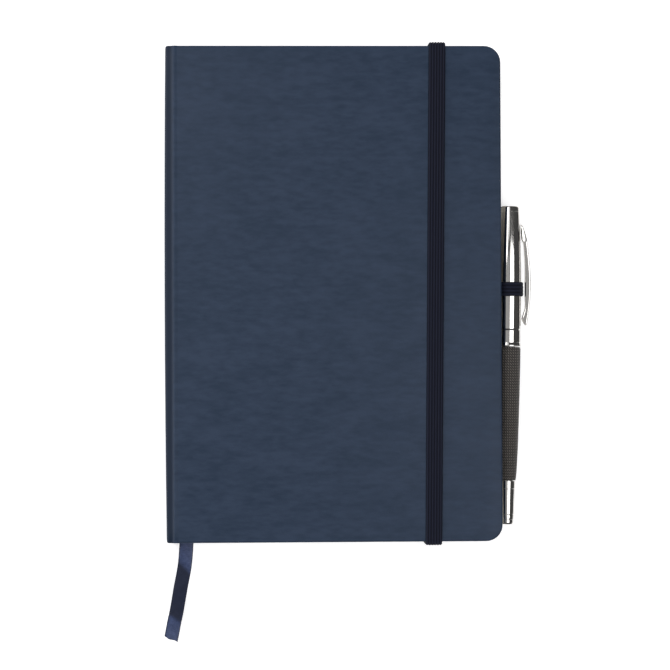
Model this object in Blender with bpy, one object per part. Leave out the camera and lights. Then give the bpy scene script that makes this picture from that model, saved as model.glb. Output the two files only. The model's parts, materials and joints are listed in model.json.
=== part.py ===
"""A hard-cover notebook with an elastic closure, a ribbon marker and a capped pen in an elastic loop.

The book lies on its back cover. Lengths are in metres, and every shape is drawn in the book's own axes:
X from the spine to the fore edge, Y towards the head and Z out of the front cover. The empty "book" moves all
of it, so that the origin is under the middle of the object. The pen is drawn along its own axis.
"""

import math

import bmesh
import bpy
from mathutils import Vector

MM = 0.001

# The closed book
THICKNESS = 17.0 * MM
MIDDLE = THICKNESS / 2
COVER_HALF = 105.0 * MM
COVER_HINGE_X = 3.0 * MM
COVER_FORE_X = 142.0 * MM
COVER_CORNER = 7.0 * MM
COVER_RIM_RADIUS = 0.9 * MM
LAYER_GAP = 0.1 * MM
SKIN = 0.5 * MM
BOARD = 1.8 * MM
TURN_IN = 0.4 * MM
TURN_IN_MARGIN = 15.0 * MM
PASTEDOWN = 0.2 * MM
PASTEDOWN_MARGIN = 3.0 * MM

# The text block
PAGE_ROOT_X = 4.0 * MM
PAGE_FORE_X = 138.0 * MM
PAGE_HALF = 101.5 * MM
PAGE_CORNER = 5.0 * MM
FLYLEAF = 0.15 * MM
SIGNATURES_PER_HALF = 6
MARKER_GAP = 0.5 * MM
LINING = 0.2 * MM

# The spine and the axes that the book opens on
HINGE_X = 1.3 * MM
HINGE_DEPTH = 2.0 * MM
SPINE_OUTER = 1.3 * MM
SPINE_INNER = 0.8 * MM
SPINE_BOW = 0.6 * MM
SPINE_END = [(0.0, 0.55 * MM), (0.25 * MM, 0.25 * MM), (0.7 * MM, 0.06 * MM), (1.4 * MM, 0.0)]
PAGE_TURN_X = 3.3 * MM

# The closure band
BAND_WIDTH = 7.0 * MM
BAND_THICK = 1.0 * MM
BAND_X = 113.85 * MM
BAND_LEAN = math.radians(-0.63)
BAND_STAND_OFF = 0.6 * MM
BAND_START_Z = 3.2 * MM
BAND_TURN_RADIUS = 0.6 * MM
TAB_THICK = 0.32 * MM
TAB_INSET = 13.0 * MM
NOTCH_GAP = 0.3 * MM

# The pen and its loop
PEN_X = 146.05 * MM
PEN_TILT = math.radians(-0.93)
LOOP_LOW = -1.2 * MM
LOOP_HIGH = 4.85 * MM
LOOP_INNER = 5.4 * MM
LOOP_OUTER = 6.1 * MM
LOOP_TAB_X = 128.0 * MM
CAP_RADIUS = 5.2 * MM
CAP_WALL = 0.7 * MM
CAP_TOP = 37.45 * MM
CAP_TAPER = 1.25 * MM
CAP_TAPER_FROM = -2.5 * MM
CAP_MOUTH = -22.5 * MM
PEN_GAP = 0.1 * MM
CLIP_PIVOT = (4.75 * MM, 29.6 * MM)
CLIP_REACH = 9.2 * MM

# The ribbon marker
RIBBON_WIDTH = 6.0 * MM
RIBBON_THICK = 0.3 * MM
# Points along the middle of the free end, from the foot of the text block to the cut end
RIBBON_ROUTE = [
    (8.2 * MM, -101.9 * MM, 8.50 * MM),
    (8.05 * MM, -106.5 * MM, 8.45 * MM),
    (7.6 * MM, -112.0 * MM, 7.90 * MM),
    (6.8 * MM, -117.8 * MM, 6.30 * MM),
    (5.7 * MM, -124.2 * MM, 3.90 * MM),
    (4.3 * MM, -131.5 * MM, 1.50 * MM),
    (3.0 * MM, -138.0 * MM, 0.45 * MM),
    (2.2 * MM, -142.0 * MM, 0.25 * MM),
    (1.1 * MM, -147.2 * MM, 0.20 * MM),
]

ROUND_STEPS = 36
HIDDEN_STEPS = 16
CORNER_STEPS = 8
MERGE = 0.000001


# ---------------------------------------------------------------- helpers


def clear_scene():
    for obj in list(bpy.data.objects):
        bpy.data.objects.remove(obj)


def material(name, colour, roughness, metallic=0.0):
    made = bpy.data.materials.new(name)
    made.use_nodes = True
    shader = made.node_tree.nodes["Principled BSDF"]
    shader.inputs["Base Color"].default_value = (*colour, 1.0)
    shader.inputs["Roughness"].default_value = roughness
    shader.inputs["Metallic"].default_value = metallic
    return made


def empty(name, place, parent=None, turn=(0.0, 0.0, 0.0)):
    made = bpy.data.objects.new(name, None)
    bpy.context.scene.collection.objects.link(made)
    made.parent = parent
    made.location = place
    made.rotation_euler = turn
    return made


def from_book(parent):
    """Where a parent empty is in the book's axes."""
    place = Vector()
    while parent.name != "book":
        place += parent.location
        parent = parent.parent
    return place


def link(name, mesh, look, parent, own_axes=False):
    """An object of this mesh. Unless it is drawn in its parent's own axes, it is drawn in the book's."""
    made = bpy.data.objects.new(name, mesh)
    bpy.context.scene.collection.objects.link(made)
    made.parent = parent
    if not own_axes:
        made.location = -from_book(parent)
    mesh.materials.append(look)
    return made


def to_mesh(name, bm, smooth_below=40.0):
    bmesh.ops.recalc_face_normals(bm, faces=bm.faces)
    mesh = bpy.data.meshes.new(name)
    bm.to_mesh(mesh)
    bm.free()
    mesh.shade_smooth()
    mesh.set_sharp_from_angle(angle=math.radians(smooth_below))
    return mesh


def loft(name, loops, look, parent, own_axes=False):
    """A closed body through loops of equally many points, with a flat cap on the first and the last."""
    bm = bmesh.new()
    rings = [[bm.verts.new(point) for point in loop] for loop in loops]
    for near, far in zip(rings, rings[1:]):
        for i in range(len(near)):
            j = (i + 1) % len(near)
            bm.faces.new((near[i], near[j], far[j], far[i]))
    bm.faces.new(rings[0][::-1])
    bm.faces.new(rings[-1])
    return link(name, to_mesh(name, bm), look, parent, own_axes)


def plate(name, outline, low, high, look, parent):
    """An outline in X and Y, extruded from one level to another."""
    loops = [[(x, y, z) for x, y in outline] for z in (low, high)]
    return loft(name, loops, look, parent)


def block(name, low, high, look, parent):
    """A box between two opposite corners."""
    outline = [(low[0], low[1]), (high[0], low[1]), (high[0], high[1]), (low[0], high[1])]
    return plate(name, outline, low[2], high[2], look, parent)


def arc(centre_a, centre_b, radius, start, end, steps):
    """Points of a circular arc, with both ends, angles in degrees."""
    points = []
    for step in range(steps + 1):
        turn = math.radians(start + (end - start) * step / steps)
        points.append((centre_a + radius * math.cos(turn), centre_b + radius * math.sin(turn)))
    return points


def leaf_outline(x_low, x_high, half, spine_corner, fore_corner):
    """A rectangle with rounded corners, in X and Y."""
    left, right = x_low + spine_corner, x_high - fore_corner
    low, high = -half + spine_corner, half - spine_corner
    fore_low, fore_high = -half + fore_corner, half - fore_corner
    points = []
    points += arc(left, low, spine_corner, 180, 270, CORNER_STEPS // 2)
    points += arc(right, fore_low, fore_corner, 270, 360, CORNER_STEPS)
    points += arc(right, fore_high, fore_corner, 0, 90, CORNER_STEPS)
    points += arc(left, high, spine_corner, 90, 180, CORNER_STEPS // 2)
    return points


def round_edges(obj, width, segments):
    bevel = obj.modifiers.new("round_edges", "BEVEL")
    bevel.width = width
    bevel.segments = segments
    bevel.limit_method = "ANGLE"
    bevel.angle_limit = math.radians(60)


def combine(obj, other, operation):
    """A Boolean with a helper object, which is hidden."""
    other.hide_render = True
    other.display_type = "WIRE"
    change = obj.modifiers.new(other.name, "BOOLEAN")
    change.object = other
    change.operation = operation
    change.solver = "EXACT"


def turned(name, profile, look, parent, steps=ROUND_STEPS):
    """A turned piece. Its profile holds radius and place, down the outer side and up the inner."""
    mesh = bpy.data.meshes.new(name)
    points = [(radius, 0.0, along) for radius, along in profile]
    edges = [(i, i + 1) for i in range(len(points) - 1)]
    if profile[0][0] > 0.0:
        edges.append((len(points) - 1, 0))
    mesh.from_pydata(points, edges, [])
    made = link(name, mesh, look, parent, own_axes=True)
    screw = made.modifiers.new("turn", "SCREW")
    screw.axis = "Z"
    screw.angle = math.tau
    screw.steps = steps
    screw.render_steps = steps
    screw.use_merge_vertices = True
    screw.merge_threshold = MERGE
    screw.use_smooth_shade = True
    return made


def curve_point(p, q, r, s, t):
    """One coordinate of a smooth curve between q and r, at the share t of the way."""
    slope = 2 * p - 5 * q + 4 * r - s
    bend = 3 * q - p - 3 * r + s
    return 0.5 * (2 * q + (r - p) * t + slope * t**2 + bend * t**3)


def smooth_route(points, steps):
    """Points of a smooth curve through these points."""
    first = [2 * a - b for a, b in zip(points[0], points[1])]
    last = [2 * a - b for a, b in zip(points[-1], points[-2])]
    line = [first, *points, last]
    route = []
    for four in zip(line, line[1:], line[2:], line[3:]):
        for step in range(steps):
            route.append(tuple(curve_point(*near, step / steps) for near in zip(*four)))
    route.append(tuple(points[-1]))
    return route


# ---------------------------------------------------------------- materials

clear_scene()
LEATHER = material("navy_leather", (0.036, 0.053, 0.085), 0.45)
GREYBOARD = material("greyboard", (0.33, 0.31, 0.28), 0.9)
ENDPAPER = material("endpaper", (0.86, 0.84, 0.78), 0.8)
PAPER = material("paper", (0.90, 0.88, 0.82), 0.8)
LINING_CLOTH = material("lining_cloth", (0.75, 0.73, 0.68), 0.9)
ELASTIC = material("elastic", (0.018, 0.020, 0.033), 0.7)
RIBBON = material("ribbon_satin", (0.045, 0.060, 0.150), 0.35)
CHROME = material("chrome", (0.80, 0.79, 0.78), 0.08, 1.0)
SLEEVE = material("woven_sleeve", (0.055, 0.048, 0.042), 0.6)
STEEL = material("steel", (0.62, 0.61, 0.59), 0.3, 1.0)
DARK_PLASTIC = material("dark_plastic", (0.02, 0.02, 0.022), 0.4)
BRASS = material("brass", (0.72, 0.53, 0.25), 0.3, 1.0)

# ---------------------------------------------------------------- moving frames

PEN_AXIS_TURN = (math.radians(-90), 0.0, PEN_TILT)
WIDEST_X = PEN_X + CLIP_REACH
SPINE_MOST_X = -SPINE_BOW

book = empty("book", (-(WIDEST_X + SPINE_MOST_X) / 2, 0.0, 0.0))
back_cover = empty("back_cover", (0.0, 0.0, 0.0), book)
spine_hinge = empty("spine_hinge", (HINGE_X, 0.0, HINGE_DEPTH), book)
front_hinge = empty("front_cover_hinge", (0.0, 0.0, THICKNESS - 2 * HINGE_DEPTH), spine_hinge)
page_turn = empty("pages_turn", (PAGE_TURN_X, 0.0, MIDDLE), book)
closure = empty("closure_stow", (BAND_X, 0.0, THICKNESS), book)
pen = empty("pen_slide", (PEN_X, 0.0, MIDDLE), book, PEN_AXIS_TURN)
barrel = empty("barrel_pull", (0.0, 0.0, CAP_MOUTH), pen)
clip_root = empty("clip_flex", (CLIP_PIVOT[0], 0.0, CLIP_PIVOT[1]), pen)


# ---------------------------------------------------------------- covers


def cover_levels(side, inner, outer):
    """The levels of a layer, from its distances to the book's middle. Side is 1 in front, -1 behind."""
    return sorted((MIDDLE + side * inner, MIDDLE + side * outer))


def cover(prefix, side, parent):
    """A board in a leather skin whose turned-in edge is covered by a pastedown."""
    outer = MIDDLE
    board_outer = outer - SKIN - LAYER_GAP
    board_inner = board_outer - BOARD
    turn_outer = board_inner - LAYER_GAP
    turn_inner = turn_outer - TURN_IN
    paste_outer = turn_inner - LAYER_GAP
    paste_inner = paste_outer - PASTEDOWN

    edge = leaf_outline(COVER_HINGE_X, COVER_FORE_X, COVER_HALF, 1.0 * MM, COVER_CORNER)
    skin = plate(prefix + "_skin", edge, *cover_levels(side, turn_inner, outer), LEATHER, parent)
    round_edges(skin, COVER_RIM_RADIUS, 3)

    open_x = COVER_HINGE_X - 2 * MM
    rim = SKIN + LAYER_GAP
    hollow = leaf_outline(open_x, COVER_FORE_X - SKIN, COVER_HALF - SKIN, 0.2 * MM, COVER_CORNER - SKIN)
    pocket_levels = cover_levels(side, turn_outer, outer - SKIN)
    pocket = plate(prefix + "_pocket", hollow, *pocket_levels, GREYBOARD, parent)
    combine(skin, pocket, "DIFFERENCE")
    frame = leaf_outline(
        open_x, COVER_FORE_X - TURN_IN_MARGIN, COVER_HALF - TURN_IN_MARGIN, 0.2 * MM, 2 * MM
    )
    window_levels = cover_levels(side, turn_inner - 1 * MM, turn_outer + 0.5 * MM)
    window = plate(prefix + "_window", frame, *window_levels, GREYBOARD, parent)
    combine(skin, window, "DIFFERENCE")

    board_edge = leaf_outline(
        COVER_HINGE_X + 0.4 * MM, COVER_FORE_X - rim, COVER_HALF - rim, 0.2 * MM, COVER_CORNER - rim
    )
    plate(prefix + "_board", board_edge, *cover_levels(side, board_inner, board_outer), GREYBOARD, parent)
    paste_edge = leaf_outline(
        COVER_HINGE_X + 1.5 * MM,
        COVER_FORE_X - PASTEDOWN_MARGIN,
        COVER_HALF - PASTEDOWN_MARGIN,
        0.2 * MM,
        COVER_CORNER - 2 * MM,
    )
    paste_levels = cover_levels(side, paste_inner, paste_outer)
    plate(prefix + "_pastedown", paste_edge, *paste_levels, ENDPAPER, parent)
    return skin, cover_levels(side, turn_inner, turn_outer), paste_inner


def notch(skin, name, low, high):
    """A slot in the turned-in leather, where the end of an elastic lies."""
    combine(skin, block(name, low, high, GREYBOARD, back_cover), "DIFFERENCE")


# ---------------------------------------------------------------- text block


def pages(side, parent, first_number, flyleaf_name, lining_name, half_depth):
    """Half of the text block: its signatures, a flyleaf and the lining glued over the folds."""
    edge = leaf_outline(PAGE_ROOT_X, PAGE_FORE_X, PAGE_HALF, 0.1 * MM, PAGE_CORNER)
    inside = MARKER_GAP / 2
    outside = half_depth - FLYLEAF
    pitch = (outside - inside) / SIGNATURES_PER_HALF
    for i in range(SIGNATURES_PER_HALF):
        # Signatures are numbered from the front cover down
        order = SIGNATURES_PER_HALF - 1 - i if side > 0 else i
        near = inside + order * pitch
        name = f"signature_{first_number + i:02d}"
        plate(name, edge, *cover_levels(side, near, near + pitch - LAYER_GAP), PAPER, parent)
    plate(flyleaf_name, edge, *cover_levels(side, outside, half_depth), ENDPAPER, parent)
    z_low, z_high = cover_levels(side, inside + 0.05 * MM, half_depth - 0.05 * MM)
    x_high = PAGE_ROOT_X - LAYER_GAP
    half = PAGE_HALF - 3 * MM
    low_corner, high_corner = (x_high - LINING, -half, z_low), (x_high, half, z_high)
    block(lining_name, low_corner, high_corner, LINING_CLOTH, parent)


# ---------------------------------------------------------------- spine


def spine_section(y, inset):
    """The spine's outline in X and Z at one place along it, bowed outwards at half the height."""
    bow = SPINE_BOW * (1 - (y / COVER_HALF) ** 2)
    middle_radius = (SPINE_OUTER + SPINE_INNER) / 2
    half_difference = (SPINE_OUTER - SPINE_INNER) / 2
    points = []
    for centre_z, start in ((HINGE_DEPTH, 180), (THICKNESS - HINGE_DEPTH, 0)):
        for step in range(CORNER_STEPS + 1):
            turn = math.radians(start + 180 * step / CORNER_STEPS)
            radius = middle_radius - half_difference * math.cos(turn) - inset
            x = HINGE_X + radius * math.cos(turn)
            outward = max(0.0, -math.cos(turn))
            points.append((x - bow * outward, y, centre_z + radius * math.sin(turn)))
    return points


def spine():
    # The ends round over: places along the spine, each with how far its outline draws in
    tail = [(-COVER_HALF + inward, inset) for inward, inset in SPINE_END]
    head = [(COVER_HALF - inward, inset) for inward, inset in reversed(SPINE_END)]
    fractions = (-0.75, -0.5, -0.25, 0.0, 0.25, 0.5, 0.75)
    places = tail + [(COVER_HALF * fraction, 0.0) for fraction in fractions] + head
    loops = [spine_section(y, inset) for y, inset in places]
    skin = loft("spine_skin", loops, LEATHER, spine_hinge)
    strip_low, strip_high = HINGE_DEPTH, THICKNESS - HINGE_DEPTH
    half = COVER_HALF - SKIN
    pocket_corners = (0.55 * MM, -half, strip_low), (HINGE_X + 2 * MM, half, strip_high)
    combine(skin, block("spine_pocket", *pocket_corners, GREYBOARD, spine_hinge), "DIFFERENCE")
    gap = LAYER_GAP
    strip_corner = (0.55 * MM + gap, -half + gap, strip_low + gap)
    strip_end = (HINGE_X + SPINE_INNER - gap, half - gap, strip_high - gap)
    block("spine_strip", strip_corner, strip_end, GREYBOARD, spine_hinge)


# ---------------------------------------------------------------- closure band


def band_x(y):
    """The middle of the leaning band at this height."""
    return BAND_X - y * math.tan(BAND_LEAN)


def closure_band():
    """One elastic strip over the front cover and down past the head and the tail of the book."""
    start = BAND_START_Z
    inner_y = COVER_HALF + BAND_STAND_OFF
    inner_z = THICKNESS + LAYER_GAP
    inner_turn = BAND_TURN_RADIUS
    outer_turn = inner_turn + BAND_THICK
    centre_y, centre_z = inner_y - inner_turn, inner_z - inner_turn
    outer = [(inner_y + BAND_THICK, start)]
    outer += arc(centre_y, centre_z, outer_turn, 0, 90, 6)
    inner = [(inner_y, start)]
    inner += arc(centre_y, centre_z, inner_turn, 0, 90, 6)
    section = outer + [(-y, z) for y, z in reversed(outer)]
    section += [(-y, z) for y, z in inner] + list(reversed(inner))
    loops = []
    for across in (-BAND_WIDTH / 2, BAND_WIDTH / 2):
        loops.append([(band_x(y) + across, y, z) for y, z in section])
    loft("closure_elastic", loops, ELASTIC, closure)


def closure_end(name, side, skin, turn_levels, notch_top):
    """The glued end of the band, in a notch of the back cover's turned-in leather."""
    middle = band_x(side * COVER_HALF)
    z_low = turn_levels[1] - TAB_THICK - 0.02 * MM
    reach = sorted((side * (COVER_HALF - TAB_INSET), side * (COVER_HALF + BAND_STAND_OFF + BAND_THICK)))
    half = BAND_WIDTH / 2
    tab_low, tab_high = (middle - half, reach[0], z_low), (middle + half, reach[1], z_low + TAB_THICK)
    block(name, tab_low, tab_high, ELASTIC, back_cover)
    slot = sorted((side * (COVER_HALF - TURN_IN_MARGIN - 1 * MM), side * (COVER_HALF + 1 * MM)))
    wide = half + NOTCH_GAP
    low, high = (middle - wide, slot[0], turn_levels[0]), (middle + wide, slot[1], notch_top)
    notch(skin, name + "_notch", low, high)


# ---------------------------------------------------------------- pen loop


def pen_loop(skin, turn_levels, notch_top):
    """An elastic loop round the cap, whose tail is glued inside the back cover."""
    ring = [(LOOP_OUTER, LOOP_HIGH), (LOOP_OUTER, LOOP_LOW), (LOOP_INNER, LOOP_LOW), (LOOP_INNER, LOOP_HIGH)]
    loop = turned("pen_loop", ring, ELASTIC, pen)
    z_low = turn_levels[1] - TAB_THICK - 0.02 * MM
    # The tail ends inside the wall of the ring, under the pen's axis
    low = (LOOP_TAB_X, LOOP_LOW + 0.05 * MM, z_low)
    high = (PEN_X, LOOP_HIGH - 0.05 * MM, z_low + TAB_THICK)
    combine(loop, block("pen_loop_tail", low, high, ELASTIC, back_cover), "UNION")
    slot_low = (COVER_FORE_X - TURN_IN_MARGIN - 1 * MM, LOOP_LOW - NOTCH_GAP, turn_levels[0])
    slot_high = (COVER_FORE_X + 1 * MM, LOOP_HIGH + NOTCH_GAP, notch_top)
    notch(skin, "pen_loop_notch", slot_low, slot_high)


# ---------------------------------------------------------------- ribbon marker


def ribbon_strip(name, route):
    """A flat strip along a route, its width level and square to the route."""
    loops = []
    for i, place in enumerate(route):
        before, after = Vector(route[max(i - 1, 0)]), Vector(route[min(i + 1, len(route) - 1)])
        along = (after - before).normalized()
        across = along.cross(Vector((0, 0, 1))).normalized() * RIBBON_WIDTH / 2
        up = across.cross(along).normalized() * RIBBON_THICK / 2
        middle = Vector(place)
        corners = (across + up, -across + up, -across - up, across - up)
        loops.append([tuple(middle + corner) for corner in corners])
    loft(name, loops, RIBBON, back_cover)


def ribbon():
    """The marker lies in the middle of the text block, and its free end hangs out at the tail."""
    root = (PAGE_ROOT_X + RIBBON_WIDTH / 2 + 0.5 * MM, PAGE_HALF - 0.5 * MM, MIDDLE)
    lower = (8.2 * MM, 0.0, MIDDLE)
    foot = (RIBBON_ROUTE[0][0], -PAGE_HALF, MIDDLE)
    ribbon_strip("ribbon_inner", smooth_route([root, lower, foot], 4))
    ribbon_strip("ribbon_tail", smooth_route(RIBBON_ROUTE, 4))


# ---------------------------------------------------------------- pen


def cap_outer(along):
    """The cap's outer radius at this place along the pen."""
    share = max(0.0, (along - CAP_TAPER_FROM) / (CAP_TOP - CAP_TAPER_FROM))
    return CAP_RADIUS - CAP_TAPER * share**1.76


def pen_cap():
    seat = 35.0 * MM
    band_top, lip_top = -15.4 * MM, -20.9 * MM
    chamfer = 0.15 * MM
    side = [CAP_TAPER_FROM + (seat - CAP_TAPER_FROM) * i / 7 for i in range(7, -1, -1)]
    bore = CAP_RADIUS - CAP_WALL
    tube_end = band_top + PEN_GAP
    tube = [(cap_outer(along), along) for along in side]
    tube += [(CAP_RADIUS, tube_end + 2 * chamfer), (CAP_RADIUS - chamfer, tube_end), (bore, tube_end)]
    tube += [(cap_outer(along) - CAP_WALL, along) for along in (side[7], side[4], side[2])]
    tube += [(cap_outer(seat) - CAP_WALL, seat - 0.8 * MM), (2.0 * MM, seat - 0.8 * MM), (2.0 * MM, seat)]
    turned("cap_tube", tube, CHROME, pen)

    top = cap_outer(CAP_TOP)
    finial = [(0.0, CAP_TOP), (top - 1.2 * MM, CAP_TOP - 0.05 * MM)]
    finial += [(top - 0.75 * MM + x, CAP_TOP - 0.85 * MM + z) for x, z in arc(0, 0, 0.75 * MM, 75, 0, 4)]
    finial += [(cap_outer(seat + PEN_GAP), seat + PEN_GAP), (1.9 * MM, seat + PEN_GAP)]
    finial += [(1.9 * MM, seat - 3.0 * MM), (0.0, seat - 3.0 * MM)]
    turned("cap_finial", finial, CHROME, pen)

    band = [(CAP_RADIUS - chamfer, band_top), (CAP_RADIUS, band_top - 2 * chamfer)]
    band += [(CAP_RADIUS, lip_top + PEN_GAP), (bore, lip_top + PEN_GAP), (bore, band_top)]
    turned("cap_band", band, CHROME, pen)

    # The lip flares towards the mouth and rounds over
    lip = [(CAP_RADIUS, lip_top), (5.22 * MM, -21.2 * MM), (5.38 * MM, -21.7 * MM), (5.46 * MM, -22.0 * MM)]
    lip += [(5.42 * MM, -22.3 * MM), (5.2 * MM, CAP_MOUTH), (bore, CAP_MOUTH), (bore, lip_top)]
    turned("cap_lip_ring", lip, CHROME, pen)

    liner_low, liner_high = 9.0 * MM, 23.5 * MM
    liner = [(0.0, liner_high), (3.2 * MM, liner_high), (3.7 * MM, liner_low), (3.2 * MM, liner_low)]
    liner += [(2.8 * MM, liner_high - 1.0 * MM), (0.0, liner_high - 1.0 * MM)]
    turned("inner_cap", liner, DARK_PLASTIC, pen, HIDDEN_STEPS)


def clip():
    """A tapered metal clip, swelling in the middle, with a foot that bends in to the cap."""
    back = [(4.65, 29.8), (5.45, 29.0), (6.7, 25.5), (7.5, 22.1), (8.7, 12.3)]
    back += [(9.15, 3.4), (8.6, -6.1), (7.7, -13.2)]
    foot = [(7.1, -13.7), (5.8, -11.7), (5.4, -10.3), (5.55, -9.4), (6.8, -7.1)]
    front = [(6.7, -4.7), (6.52, 4.6), (6.48, 12.3), (5.8, 21.2), (5.4, 22.3), (5.0, 22.4), (4.6, 29.5)]
    outline = smooth_route(back, 2) + foot + smooth_route(front[:4], 2) + front[4:]
    foot_half, root_half = 1.15 * MM, 1.9 * MM
    loops = []
    for side in (1, -1):
        ring = []
        for out, along in outline:
            share = (along - foot[0][1]) / (back[0][1] - foot[0][1])
            half = foot_half + (root_half - foot_half) * share
            ring.append((out * MM - CLIP_PIVOT[0], side * half, along * MM - CLIP_PIVOT[1]))
        loops.append(ring)
    made = loft("clip", loops, CHROME, clip_root, own_axes=True)
    round_edges(made, 0.3 * MM, 2)


def barrel_piece(name, profile, look, steps=ROUND_STEPS):
    """A turned piece of the barrel, from a profile in millimetres along the same axis as the cap's."""
    turned(name, [(radius * MM, along * MM - CAP_MOUTH) for radius, along in profile], look, barrel, steps)


def pen_barrel():
    sleeve = [(4.7, -22.8), (5.05, -23.1), (5.15, -23.9), (5.12, -31.0), (4.95, -43.0), (4.75, -54.0)]
    sleeve += [(4.5, -65.0), (4.25, -71.5), (4.0, -76.5), (3.75, -79.0), (3.6, -79.6)]
    sleeve += [(3.1, -79.6), (4.2, -55.5), (4.4, -22.8)]
    barrel_piece("barrel_sleeve", sleeve, SLEEVE)

    tube = [(4.3, -22.8), (4.1, -55.5), (3.0, -78.6), (2.55, -79.6), (2.55, -93.2)]
    tube += [(2.1, -93.2), (2.1, -80.0), (2.5, -78.5), (3.5, -55.5), (3.6, -22.8)]
    barrel_piece("barrel_tube", tube, STEEL, HIDDEN_STEPS)

    collar = [(3.5, -79.8), (3.56, -79.88), (3.49, -83.04), (3.45, -83.1), (2.65, -83.1), (2.65, -79.8)]
    barrel_piece("tail_collar", collar, CHROME)
    cone = [(3.42, -83.2), (3.46, -83.26), (3.28, -88.0), (3.18, -93.94), (3.14, -94.0)]
    cone += [(2.65, -94.0), (2.65, -83.2)]
    barrel_piece("tail_cone", cone, CHROME)
    ring = [(3.05, -94.1), (3.14, -94.3), (3.08, -96.0), (3.0, -96.2), (2.0, -96.2), (2.0, -94.1)]
    barrel_piece("tail_ring", ring, CHROME)
    plug = [(0.0, -91.0), (1.9, -91.0), (1.9, -96.3), (2.88, -96.3), (2.88, -97.6)]
    plug += [(2.62, -98.2), (2.2, -98.4), (0.0, -98.4)]
    barrel_piece("tail_plug", plug, CHROME)


def writing_end():
    """The parts that the cap covers: the collar, the grip, the metal nose and the refill with its ball."""
    collar = [(4.4, -20.5), (4.4, -22.6), (2.9, -22.6), (2.9, -20.5)]
    grip = [(2.9, 7.5), (3.4, 0.0), (3.75, -10.0), (3.9, -19.0), (3.9, -20.4), (2.8, -20.4)]
    grip += [(2.8, -22.8), (3.45, -22.8), (3.45, -32.5), (1.7, -32.5), (1.7, 7.5)]
    nose = [(1.0, 17.0), (1.3, 16.6), (2.55, 7.9), (2.55, 7.6), (1.7, 7.6), (0.75, 15.5), (0.75, 17.0)]
    refill = [(1.5, 7.4), (1.5, -75.0), (1.2, -75.0), (1.2, 7.4)]
    tip = [(0.42, 19.7), (0.6, 18.6), (0.6, 15.2), (1.45, 9.5), (1.45, 7.5), (0.25, 7.5), (0.25, 19.7)]
    barrel_piece("section_collar", collar, STEEL, HIDDEN_STEPS)
    barrel_piece("grip_section", grip, DARK_PLASTIC, HIDDEN_STEPS)
    barrel_piece("nose_cone", nose, STEEL, HIDDEN_STEPS)
    barrel_piece("refill_tube", refill, STEEL, HIDDEN_STEPS)
    barrel_piece("refill_tip", tip, BRASS, HIDDEN_STEPS)
    centre, radius = 20.05, 0.32
    side = arc(0.0, centre, radius, 60, -60, 4)
    barrel_piece("writing_ball", [(0.0, centre + radius), *side, (0.0, centre - radius)], STEEL, HIDDEN_STEPS)


# ---------------------------------------------------------------- the whole object

cover("front_cover", 1, front_hinge)
back_skin, back_turn_in, block_half = cover("back_cover", -1, back_cover)
PAGE_DEPTH = block_half - LAYER_GAP
NOTCH_TOP = back_turn_in[1] + 0.5 * MM
pages(1, page_turn, 1, "front_flyleaf", "spine_lining_front", PAGE_DEPTH)
pages(-1, back_cover, 1 + SIGNATURES_PER_HALF, "back_flyleaf", "spine_lining_rear", PAGE_DEPTH)
spine()
closure_band()
closure_end("closure_end_head", 1, back_skin, back_turn_in, NOTCH_TOP)
closure_end("closure_end_tail", -1, back_skin, back_turn_in, NOTCH_TOP)
pen_loop(back_skin, back_turn_in, NOTCH_TOP)
ribbon()
pen_cap()
clip()
pen_barrel()
writing_end()
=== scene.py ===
"""How the notebook, its closure, its ribbon and its pen look, around the fixed CAD frame.

Pieces are laid out in the book's axes: millimetres, X from the spine to the fore edge, Y towards the head
and Z out of the front cover. place() turns them into metres in the frame. Lights and the floor are in metres.
"""

import json
import math

import bmesh
import bpy
from mathutils import Matrix, Vector

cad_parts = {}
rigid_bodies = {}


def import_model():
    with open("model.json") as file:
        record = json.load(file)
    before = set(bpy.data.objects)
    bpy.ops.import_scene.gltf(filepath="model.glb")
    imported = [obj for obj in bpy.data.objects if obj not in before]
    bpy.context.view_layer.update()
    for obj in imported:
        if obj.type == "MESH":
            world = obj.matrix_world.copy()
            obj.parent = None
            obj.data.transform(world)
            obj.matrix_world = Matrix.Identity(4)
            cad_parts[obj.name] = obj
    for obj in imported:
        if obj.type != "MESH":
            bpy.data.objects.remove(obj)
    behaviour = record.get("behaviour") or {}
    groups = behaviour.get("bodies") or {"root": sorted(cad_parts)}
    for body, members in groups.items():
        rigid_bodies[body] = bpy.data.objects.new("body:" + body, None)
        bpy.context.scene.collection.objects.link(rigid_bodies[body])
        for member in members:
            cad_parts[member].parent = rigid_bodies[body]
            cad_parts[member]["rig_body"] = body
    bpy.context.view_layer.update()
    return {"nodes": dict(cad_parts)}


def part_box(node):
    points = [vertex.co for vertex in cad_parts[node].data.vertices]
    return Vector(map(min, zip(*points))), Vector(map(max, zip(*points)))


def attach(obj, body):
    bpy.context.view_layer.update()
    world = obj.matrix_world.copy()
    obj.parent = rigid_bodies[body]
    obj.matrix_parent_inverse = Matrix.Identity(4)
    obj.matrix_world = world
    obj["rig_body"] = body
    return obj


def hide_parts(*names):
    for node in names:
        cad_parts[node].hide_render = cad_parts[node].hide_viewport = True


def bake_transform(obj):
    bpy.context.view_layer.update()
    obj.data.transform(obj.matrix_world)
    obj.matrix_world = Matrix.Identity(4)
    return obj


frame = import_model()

MM = 0.001

# The book's own sizes, in millimetres
THICKNESS = 17.0
MIDDLE = THICKNESS / 2
COVER_FORE_X = 142.0
COVER_HALF = 105.0
PAGE_FORE_X = 138.0
PAGE_HALF = 101.5
HINGE_DEPTH = 2.0
BAND_X = 113.85
BAND_WIDTH = 7.0
BAND_RIBS = 6
BAND_LEAN = math.tan(math.radians(-0.63))
PEN_X = 146.05
PEN_TILT = math.radians(-0.93)
LOOP_LOW = -1.2
LOOP_HIGH = 4.85
LOOP_RIBS = 4
BRAID_PITCH = 2.1
BRAID_CELLS = 15
BRAID_STEEPNESS = 1.1

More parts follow.
